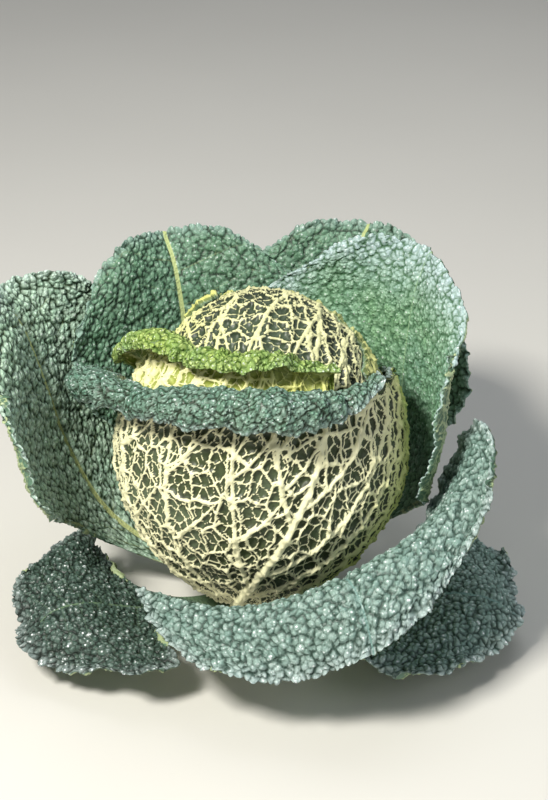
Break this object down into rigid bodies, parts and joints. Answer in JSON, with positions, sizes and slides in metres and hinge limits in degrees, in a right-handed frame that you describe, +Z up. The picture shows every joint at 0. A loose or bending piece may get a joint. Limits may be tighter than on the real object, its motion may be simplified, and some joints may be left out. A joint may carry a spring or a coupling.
{
  "type": "savoy cabbage head",
  "caption": "Savoy cabbage head as picked: a round heart in net-veined wrapper leaves with rolled rims, ringed by blistered, frilled outer leaves on a short cut stem.",
  "frame": {"origin": "centre of the stem's flat cut, on which the head stands", "axes": "+Z up along the head's axis, -Y towards the head's front, +X to its right"},
  "size_m": [0.3529, 0.3436, 0.2316],
  "materials": {
    "stem": "pale fibrous cut stalk",
    "heart": "satin pale yellow-green leaf",
    "head_leaf": "satin pale green leaf with a cream raised net",
    "outer_leaf": "blue-green blistered leaf with a waxy bloom"
  },
  "bodies": {
    "root": {"stem": "stem", "heart": "heart", "crown_leaf": "head_leaf", "right_wrapper_leaf": "head_leaf", "left_wrapper_leaf": "head_leaf", "front_wrapper_leaf": "head_leaf", "outer_leaf_back_right": "outer_leaf", "outer_leaf_back_left": "outer_leaf", "outer_leaf_left": "outer_leaf", "outer_leaf_front_right": "outer_leaf", "outer_leaf_right": "outer_leaf", "outer_leaf_back": "outer_leaf", "outer_leaf_front_left": "outer_leaf"}
  },
  "joints": []
}
